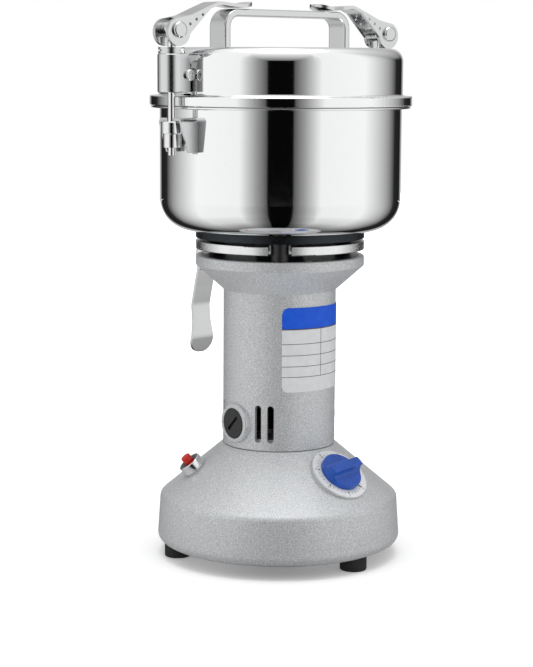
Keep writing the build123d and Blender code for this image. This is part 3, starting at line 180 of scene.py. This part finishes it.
class Finish:
    """A procedural material in the making: its node tree and short calls for the nodes it needs."""

    def __init__(self, name, metallic, **sockets):
        self.material = bpy.data.materials.new(name)
        self.material.use_nodes = True
        self.tree = self.material.node_tree
        self.shader = self.tree.nodes["Principled BSDF"]
        self.shader.inputs["Metallic"].default_value = metallic
        for socket, value in sockets.items():
            self.shader.inputs[socket.replace("_", " ")].default_value = value
        self.place = self.tree.nodes.new("ShaderNodeTexCoord").outputs["Object"]

    def node(self, kind, **values):
        node = self.tree.nodes.new(kind)
        for socket, value in values.items():
            node.inputs[socket.replace("_", " ")].default_value = value
        return node

    def join(self, start, end):
        self.tree.links.new(start, end)

    def stretched(self, along):
        """The place on the piece, stretched by a factor on each axis."""
        mapping = self.node("ShaderNodeMapping", Scale=along)
        self.join(self.place, mapping.inputs["Vector"])
        return mapping.outputs["Vector"]

    def noise(self, size, detail=2.0, along=None):
        """Clouded noise whose grains are about a size across."""
        noise = self.node("ShaderNodeTexNoise", Scale=1 / size, Detail=detail)
        self.join(self.stretched(along) if along else self.place, noise.inputs["Vector"])
        return noise.outputs["Fac"]

    def ramp(self, factor, *stops):
        """Colours along a factor, as (position, colour) stops."""
        ramp = self.node("ShaderNodeValToRGB")
        elements = ramp.color_ramp.elements
        while len(elements) < len(stops):
            elements.new(1.0)
        for element, (position, color) in zip(elements, stops):
            element.position = position
            element.color = color
        self.join(factor, ramp.inputs["Fac"])
        return ramp.outputs["Color"]

    def ranged(self, factor, low, high, start=GRAIN_START, end=GRAIN_END):
        """A number that goes from low to high as the factor goes from start to end."""
        ranged = self.node("ShaderNodeMapRange")
        ranged.inputs["From Min"].default_value = start
        ranged.inputs["From Max"].default_value = end
        ranged.inputs["To Min"].default_value = low
        ranged.inputs["To Max"].default_value = high
        self.join(factor, ranged.inputs["Value"])
        return ranged.outputs["Result"]

    def color(self, factor, *stops):
        self.join(self.ramp(factor, *stops), self.shader.inputs["Base Color"])

    def roughness(self, factor, low, high):
        self.join(self.ranged(factor, low, high), self.shader.inputs["Roughness"])

    def bump(self, factor, depth, strength):
        bump = self.node("ShaderNodeBump", Distance=depth, Strength=strength)
        self.join(factor, bump.inputs["Height"])
        self.join(bump.outputs["Normal"], self.shader.inputs["Normal"])


def grey(level, blue=0.0):
    """A grey with a little more blue than red."""
    return (level - blue, level, level + blue, 1.0)


def painted_casting(name):
    """Silver fleck paint on a casting: fine sparkle over a slightly clouded coat."""
    finish = Finish(name, 0.35, Coat_Weight=0.1, Coat_Roughness=0.3)
    fleck = finish.noise(FLECK_SIZE, detail=4.0)
    finish.color(
        fleck,
        (0.34, grey(0.44, 0.012)),
        (0.5, grey(0.58, 0.014)),
        (0.66, grey(0.76, 0.014)),
    )
    finish.roughness(finish.noise(COAT_CLOUD_SIZE), 0.4, 0.5)
    finish.bump(finish.noise(CAST_SKIN_SIZE), CAST_SKIN_DEPTH, RELIEF)
    return finish.material


def polished_steel(name, level, low, high, along, depth):
    """Polished steel with faint polishing lines along a direction."""
    finish = Finish(name, 1.0)
    lines = finish.noise(POLISH_SIZE, detail=3.0, along=along)
    finish.color(lines, (GRAIN_START, grey(level * 0.97, 0.004)), (GRAIN_END, grey(level, 0.004)))
    finish.roughness(lines, low, high)
    finish.bump(lines, depth, RELIEF)
    return finish.material


def grained_metal(name, dark, light, low, high):
    """Bare or plated metal with a fine grain between two colours."""
    finish = Finish(name, 1.0)
    grain = finish.noise(METAL_GRAIN_SIZE, detail=3.0)
    finish.color(grain, (GRAIN_START, dark), (GRAIN_END, light))
    finish.roughness(finish.noise(METAL_GRAIN_SIZE * METAL_CLOUDS), low, high)
    finish.bump(grain, METAL_GRAIN_DEPTH, METAL_RELIEF)
    return finish.material


def moulded(name, dark, light, low, high, **sockets):
    """Moulded plastic or rubber with a fine skin between two colours."""
    finish = Finish(name, 0.0, **sockets)
    skin = finish.noise(SKIN_SIZE)
    finish.color(finish.noise(SKIN_SIZE * SKIN_CLOUDS), (GRAIN_START, dark), (GRAIN_END, light))
    finish.roughness(skin, low, high)
    finish.bump(skin, SKIN_DEPTH, RELIEF)
    return finish.material


finishes = {
    "cast_silver": painted_casting("cast_silver"),
    "steel_mirror": polished_steel("steel_mirror", 0.93, 0.035, 0.075, (1, 1, 12), FINE_POLISH),
    "steel_polished": polished_steel("steel_polished", 0.86, 0.10, 0.18, (3, 3, 3), SATIN_POLISH),
    "steel_plate": polished_steel("steel_plate", 0.82, 0.14, 0.24, (6, 1, 1), PLATE_POLISH),
    "steel_zinc": grained_metal("steel_zinc", grey(0.52, 0.01), grey(0.68, 0.012), 0.24, 0.38),
    "chrome_bright": polished_steel("chrome_bright", 0.86, 0.06, 0.12, (1, 1, 8), FINE_POLISH),
    "chrome_satin": polished_steel("chrome_satin", 0.7, 0.12, 0.2, (6, 2, 2), SATIN_POLISH),
    "chrome_soft": polished_steel("chrome_soft", 0.84, 0.16, 0.26, (1, 1, 8), FINE_POLISH),
    "flange_dark": grained_metal("flange_dark", grey(0.028, 0.004), grey(0.06, 0.006), 0.3, 0.45),
    "aluminium_plain": grained_metal("aluminium_plain", grey(0.55), grey(0.7), 0.35, 0.5),
    "rubber_black": moulded("rubber_black", grey(0.012), grey(0.022), 0.55, 0.75),
    "plastic_black": moulded("plastic_black", grey(0.008), grey(0.014), 0.3, 0.42),
    "carbon_black": moulded("carbon_black", grey(0.02), grey(0.04), 0.5, 0.65),
    "brass_plain": grained_metal(
        "brass_plain", (0.1, 0.07, 0.03, 1.0), (0.16, 0.11, 0.05, 1.0), 0.35, 0.5
    ),
    "copper_wire": grained_metal(
        "copper_wire", (0.1, 0.035, 0.016, 1.0), (0.17, 0.06, 0.03, 1.0), 0.35, 0.5
    ),
    "laminations": grained_metal("laminations", grey(0.2), grey(0.34), 0.4, 0.55),
    "label_white": moulded("label_white", grey(0.7, 0.012), grey(0.76, 0.012), 0.38, 0.5),
    "dial_white": moulded("dial_white", grey(0.78, 0.005), grey(0.84, 0.005), 0.4, 0.5),
    "knob_blue": moulded(
        "knob_blue", (0.004, 0.065, 0.4, 1.0), (0.006, 0.085, 0.47, 1.0), 0.2, 0.3
    ),
    "button_red": moulded(
        "button_red", (0.55, 0.012, 0.008, 1.0), (0.68, 0.02, 0.012, 1.0), 0.22, 0.32
    ),
    "print_blue": moulded(
        "print_blue", (0.006, 0.09, 0.66, 1.0), (0.009, 0.11, 0.74, 1.0), 0.4, 0.5,
        Specular_IOR_Level=0.2,
    ),
    "print_black": moulded("print_black", grey(0.012), grey(0.024, 0.002), 0.45, 0.6),
    "print_grey": moulded("print_grey", grey(0.05, 0.004), grey(0.09, 0.006), 0.45, 0.6),
}

OTHER_FINISHES = {
    "handle": "chrome_satin",
    "left_latch_lever": "chrome_satin",
    "right_latch_lever": "chrome_satin",
    "left_latch_pin": "chrome_satin",
    "right_latch_pin": "chrome_satin",
    "left_latch_barrel": "chrome_satin",
    "right_latch_barrel": "chrome_satin",
    "rear_clamp_lever": "chrome_satin",
    "catch_brackets": "chrome_satin",
    "air_ring": "chrome_soft",
}


def dress_nodes():
    """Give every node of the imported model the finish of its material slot, or one of its own."""
    for part in frame["record"]["subparts"]:
        mesh = nodes[part["node"]].data
        mesh.materials.clear()
        mesh.materials.append(finishes[OTHER_FINISHES.get(part["node"], part["material_slot"])])


def mesh_object(name, points, faces):
    mesh = bpy.data.meshes.new(name)
    mesh.from_pydata(points, [], faces)
    mesh.update()
    piece = bpy.data.objects.new(name, mesh)
    bpy.context.scene.collection.objects.link(piece)
    return piece


# Making the printed marks

def printed(name, points, faces, finish, slot):
    """A thin printed mark on the machine, from points in millimetres."""
    piece = mesh_object(name, [Vector(point) * MM for point in points], faces)
    piece.data.materials.append(finishes[finish])
    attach(piece, "root")


def label_point(angle, height, lift):
    """A point just off the data plate."""
    turn = math.radians(angle)
    radius = LABEL_RADIUS + lift
    return (radius * math.sin(turn), -radius * math.cos(turn), height)


def label_band(start, end, foot, top, lift):
    """Points and faces of a band round the data plate; foot and top give heights by angle."""
    points = []
    for index in range(PRINT_STEPS + 1):
        angle = start + (end - start) * index / PRINT_STEPS
        points.append(label_point(angle, foot(angle), lift))
        points.append(label_point(angle, top(angle), lift))
    faces = [(i, i + 2, i + 3, i + 1) for i in range(0, PRINT_STEPS * 2, 2)]
    return points, faces


def header_top(angle):
    """The upper edge of the header, with the plate's round corners."""
    from_end = min(angle - LABEL_START, LABEL_END - angle)
    inset = LABEL_CORNER - math.radians(max(from_end, 0)) * LABEL_RADIUS
    if inset <= 0:
        return LABEL_TOP
    return LABEL_TOP - LABEL_CORNER + math.sqrt(max(LABEL_CORNER**2 - inset**2, 0))


def print_label():
    """A blank form: blue header and thin rules, with nothing written in it."""
    header = label_band(LABEL_START, LABEL_END, lambda angle: HEADER_FOOT, header_top, PRINT_LIFT)
    printed("label_header", *header, "print_blue", "label_white")
    points = []
    faces = []
    levels = [(HEADER_FOOT, HEADER_RULE)] + [(height, RULE_WIDTH) for height in RULE_HEIGHTS]
    for height, width in levels:
        foot = height - width / 2
        band = label_band(
            LABEL_START, LABEL_END, lambda angle: foot, lambda angle: foot + width, RULE_LIFT
        )
        faces += [tuple(corner + len(points) for corner in face) for face in band[1]]
        points += band[0]
    half = math.degrees(RULE_WIDTH / 2 / LABEL_RADIUS)
    upright = [
        label_point(RULE_ANGLE + side * half, height, RULE_LIFT)
        for side in (-1, 1)
        for height in (RULE_HEIGHTS[-1], HEADER_FOOT)
    ]
    faces.append(tuple(corner + len(points) for corner in (0, 2, 3, 1)))
    points += upright
    printed("label_rules", points, faces, "print_grey", "label_white")


def dial_frame():
    """The dial's face as a matrix in millimetres: x along the skirt, y up the cone, z off the face."""
    turn = math.radians(DIAL_TURN)
    side = math.hypot(CONE_RUN, CONE_RISE)
    out = Vector((math.sin(turn), -math.cos(turn), 0))
    along = Vector((math.cos(turn), math.sin(turn), 0))
    normal = out * (CONE_RISE / side) + Vector((0, 0, CONE_RUN / side))
    up = normal.cross(along)
    height = CONE_TOP - (DIAL_PLACE - CONE_TOP_RADIUS) * CONE_RISE / CONE_RUN
    middle = out * DIAL_PLACE + Vector((0, 0, height)) + normal * (DIAL_FACE + PRINT_LIFT)
    return Matrix((
        (along.x, up.x, normal.x, middle.x),
        (along.y, up.y, normal.y, middle.y),
        (along.z, up.z, normal.z, middle.z),
        (0, 0, 0, 1),
    ))


def print_dial():
    """Ticks and plain numbers round the timer, clockwise from zero."""
    place = dial_frame()
    points = []
    faces = []
    for index in range(TICK_COUNT + 1):
        turn = math.radians(TICK_START - TICK_SWEEP * index / TICK_COUNT)
        length, width = TICK_LENGTH, TICK_WIDTH
        if index % MAJOR_TICK_STEP == 0:
            length, width = MAJOR_TICK_LENGTH, MAJOR_TICK_WIDTH
        if index == 0:
            length, width = ZERO_TICK_LENGTH, ZERO_TICK_WIDTH
        out = Vector((math.cos(turn), math.sin(turn), 0))
        across = Vector((-out.y, out.x, 0)) * (width / 2)
        near, far = out * (TICK_FAR - length), out * TICK_FAR
        faces.append(tuple(corner + len(points) for corner in (0, 1, 2, 3)))
        points += [place @ corner for corner in (near - across, far - across, far + across, near + across)]
    printed("dial_ticks", points, faces, "print_black", "dial_white")
    for index in range(0, TICK_COUNT + 1, MAJOR_TICK_STEP):
        turn = math.radians(TICK_START - TICK_SWEEP * index / TICK_COUNT)
        curve = bpy.data.curves.new("dial_number_curve", "FONT")
        curve.body = str(index)
        curve.size = NUMBER_SIZE
        curve.align_x = "CENTER"
        curve.align_y = "CENTER"
        writing = bpy.data.objects.new("dial_number_curve", curve)
        shape = bpy.data.meshes.new_from_object(writing)
        spot = Matrix.Translation((NUMBER_PLACE * math.cos(turn), NUMBER_PLACE * math.sin(turn), 0))
        upright = Matrix.Rotation(turn - math.pi / 2, 4, "Z")
        corners = [place @ spot @ upright @ vertex.co for vertex in shape.vertices]
        printed(
            f"dial_number_{index}", corners, [tuple(face.vertices) for face in shape.polygons],
            "print_black", "dial_white",
        )
        bpy.data.meshes.remove(shape)
        bpy.data.objects.remove(writing)


# Making the studio

def floor_material():
    """Pale floor with the object's soft shadow, and a painted shade round the object: the white that the
    camera sees is low close to it and grows away from it.
    """
    material = bpy.data.materials.new("floor_pale")
    material.use_nodes = True
    tree = material.node_tree
    tree.nodes.clear()
    output = tree.nodes.new("ShaderNodeOutputMaterial")
    diffuse = tree.nodes.new("ShaderNodeBsdfDiffuse")
    diffuse.inputs["Color"].default_value = FLOOR_COLOR
    glow = tree.nodes.new("ShaderNodeEmission")
    path = tree.nodes.new("ShaderNodeLightPath")
    seen = tree.nodes.new("ShaderNodeMath")
    seen.operation = "MAXIMUM"
    tree.links.new(path.outputs["Is Camera Ray"], seen.inputs[0])
    tree.links.new(path.outputs["Is Glossy Ray"], seen.inputs[1])
    both = tree.nodes.new("ShaderNodeMath")
    both.operation = "MAXIMUM"
    tree.links.new(seen.outputs["Value"], both.inputs[0])
    tree.links.new(path.outputs["Is Transmission Ray"], both.inputs[1])
    tree.links.new(both.outputs["Value"], glow.inputs["Strength"])
    place = tree.nodes.new("ShaderNodeTexCoord")
    reach = tree.nodes.new("ShaderNodeVectorMath")
    reach.operation = "LENGTH"
    tree.links.new(place.outputs["Object"], reach.inputs[0])
    # The glow is graded by distance: its low level near the object is a painted shade.
    tree.links.new(graded(tree, reach.outputs["Value"], FLOOR_GLOW_AND_PAINTED_SHADE_STOPS, FLOOR_REACH), glow.inputs["Color"])
    add = tree.nodes.new("ShaderNodeAddShader")
    tree.links.new(diffuse.outputs["BSDF"], add.inputs[0])
    tree.links.new(glow.outputs["Emission"], add.inputs[1])
    tree.links.new(add.outputs["Shader"], output.inputs["Surface"])
    return material


def floor():
    step = 2 * FLOOR_HALF / FLOOR_SEGMENTS
    count = FLOOR_SEGMENTS + 1
    points = [
        (column * step - FLOOR_HALF, row * step - FLOOR_HALF, 0)
        for row in range(count)
        for column in range(count)
    ]
    faces = [
        (start, start + 1, start + 1 + count, start + count)
        for row in range(FLOOR_SEGMENTS)
        for start in range(row * count, row * count + FLOOR_SEGMENTS)
    ]
    piece = mesh_object("floor", points, faces)
    piece.data.materials.append(floor_material())


def graded(tree, factor, stops, whole):
    """Greys along a factor, as (place, grey) stops over a whole length."""
    share = tree.nodes.new("ShaderNodeMath")
    share.operation = "DIVIDE"
    share.inputs[1].default_value = whole
    ramp = tree.nodes.new("ShaderNodeValToRGB")
    elements = ramp.color_ramp.elements
    while len(elements) < len(stops):
        elements.new(1.0)
    for element, (place, level) in zip(elements, stops):
        element.position = min(place / whole, 1.0)
        element.color = grey(level)
    tree.links.new(factor, share.inputs[0])
    tree.links.new(share.outputs["Value"], ramp.inputs["Fac"])
    return ramp.outputs["Color"]


def tent_material(name, upright):
    """Soft boxes and black flags: a grey by the angle from the camera, and by height or distance."""
    material = bpy.data.materials.new(name)
    material.use_nodes = True
    tree = material.node_tree
    tree.nodes.clear()
    output = tree.nodes.new("ShaderNodeOutputMaterial")
    glow = tree.nodes.new("ShaderNodeEmission")
    glow.inputs["Strength"].default_value = TENT_LEVEL
    place = tree.nodes.new("ShaderNodeTexCoord")
    split = tree.nodes.new("ShaderNodeSeparateXYZ")
    turn = tree.nodes.new("ShaderNodeMath")
    turn.operation = "ARCTAN2"
    away = tree.nodes.new("ShaderNodeMath")
    away.operation = "ABSOLUTE"
    tree.links.new(place.outputs["Object"], split.inputs["Vector"])
    tree.links.new(split.outputs["Y"], turn.inputs[0])
    tree.links.new(split.outputs["X"], turn.inputs[1])
    tree.links.new(turn.outputs["Value"], away.inputs[0])
    stops = [(math.radians(angle), level) for angle, level in TENT_STOPS]
    by_angle = graded(tree, away.outputs["Value"], stops, math.pi)
    if upright:
        second = graded(tree, split.outputs["Z"], TENT_HEIGHT_STOPS, TENT_TOP)
    else:
        reach = tree.nodes.new("ShaderNodeVectorMath")
        reach.operation = "LENGTH"
        tree.links.new(place.outputs["Object"], reach.inputs[0])
        # On the floor mat, the grey by distance is a painted shade close to the object.
        second = graded(tree, reach.outputs["Value"], MAT_PAINTED_SHADE_STOPS, MAT_RADIUS)
    both = tree.nodes.new("ShaderNodeVectorMath")
    both.operation = "MAXIMUM" if upright else "MULTIPLY"
    tree.links.new(by_angle, both.inputs[0])
    tree.links.new(second, both.inputs[1])
    tree.links.new(both.outputs["Vector"], glow.inputs["Color"])
    tree.links.new(glow.outputs["Emission"], output.inputs["Surface"])
    return material


def tent():
    """A round wall of soft boxes about the object, open at the top, which only light and metal see."""
    points = []
    for height in (0.0, TENT_TOP):
        for index in range(TENT_SEGMENTS):
            turn = 2 * math.pi * index / TENT_SEGMENTS
            points.append((TENT_RADIUS * math.cos(turn), TENT_RADIUS * math.sin(turn), height))
    faces = []
    for index in range(TENT_SEGMENTS):
        after = (index + 1) % TENT_SEGMENTS
        faces.append((index, after, after + TENT_SEGMENTS, index + TENT_SEGMENTS))
    piece = mesh_object("light_tent", points, faces)
    piece.rotation_euler = (0, 0, TENT_TURN)
    piece.data.materials.append(tent_material("tent_light", True))
    piece.visible_camera = False


def floor_mat():
    """What the polished metal sees of the floor: darker close to the object, a painted shade standing for
    its shadow, as the tent beyond.
    """
    points = [(0, 0, 0)]
    for index in range(TENT_SEGMENTS):
        turn = 2 * math.pi * index / TENT_SEGMENTS
        points.append((MAT_RADIUS * math.cos(turn), MAT_RADIUS * math.sin(turn), 0))
    faces = [(0, index + 1, (index + 1) % TENT_SEGMENTS + 1) for index in range(TENT_SEGMENTS)]
    piece = mesh_object("floor_mat", points, faces)
    piece.location = (0, 0, MAT_LIFT)
    piece.rotation_euler = (0, 0, TENT_TURN)
    piece.data.materials.append(tent_material("mat_light", False))
    piece.visible_camera = False
    piece.visible_diffuse = False
    piece.visible_shadow = False
    piece.visible_transmission = False


def top_light():
    data = bpy.data.lights.new("top_light", "AREA")
    data.shape = "DISK"
    data.size = TOP_LIGHT_SIZE
    data.energy = TOP_LIGHT_POWER
    lamp = bpy.data.objects.new("top_light", data)
    lamp.location = (0, 0, TOP_LIGHT_HEIGHT)
    bpy.context.scene.collection.objects.link(lamp)


def world():
    """Soft white surroundings: full white to the camera and to metal, a little less as light."""
    surroundings = bpy.data.worlds.new("studio_white")
    surroundings.use_nodes = True
    tree = surroundings.node_tree
    background = tree.nodes["Background"]
    background.inputs["Color"].default_value = grey(1.0)
    path = tree.nodes.new("ShaderNodeLightPath")
    last = path.outputs["Is Camera Ray"]
    for kind in ("Is Glossy Ray", "Is Transmission Ray"):
        either = tree.nodes.new("ShaderNodeMath")
        either.operation = "MAXIMUM"
        tree.links.new(last, either.inputs[0])
        tree.links.new(path.outputs[kind], either.inputs[1])
        last = either.outputs["Value"]
    level = tree.nodes.new("ShaderNodeMapRange")
    level.inputs["To Min"].default_value = WORLD_LEVEL
    level.inputs["To Max"].default_value = 1.0
    tree.links.new(last, level.inputs["Value"])
    tree.links.new(level.outputs["Result"], background.inputs["Strength"])
    bpy.context.scene.world = surroundings


def camera():
    turn = math.radians(CAMERA_AZIMUTH)
    data = bpy.data.cameras.new("camera")
    data.sensor_width = SENSOR
    data.lens = SENSOR * FOCAL_PIXELS / IMAGE_HEIGHT
    eye = bpy.data.objects.new("camera", data)
    eye.location = (
        math.sin(turn) * CAMERA_DISTANCE,
        -math.cos(turn) * CAMERA_DISTANCE,
        CAMERA_HEIGHT,
    )
    pitch = math.atan((IMAGE_HEIGHT / 2 - HORIZON_PIXEL_Y) / FOCAL_PIXELS)
    yaw = math.atan((AXIS_PIXEL_X - IMAGE_WIDTH / 2) / FOCAL_PIXELS)
    look = Matrix.Rotation(turn + yaw, 4, "Z") @ Matrix.Rotation(math.pi / 2 - pitch, 4, "X")
    roll = Matrix.Rotation(math.radians(CAMERA_ROLL), 4, "Z")
    eye.matrix_world = Matrix.Translation(eye.location) @ look @ roll
    bpy.context.scene.collection.objects.link(eye)
    bpy.context.scene.camera = eye


dress_nodes()
print_label()
print_dial()
floor()
tent()
floor_mat()
top_light()
world()
camera()
bpy.context.scene.view_settings.view_transform = "Standard"
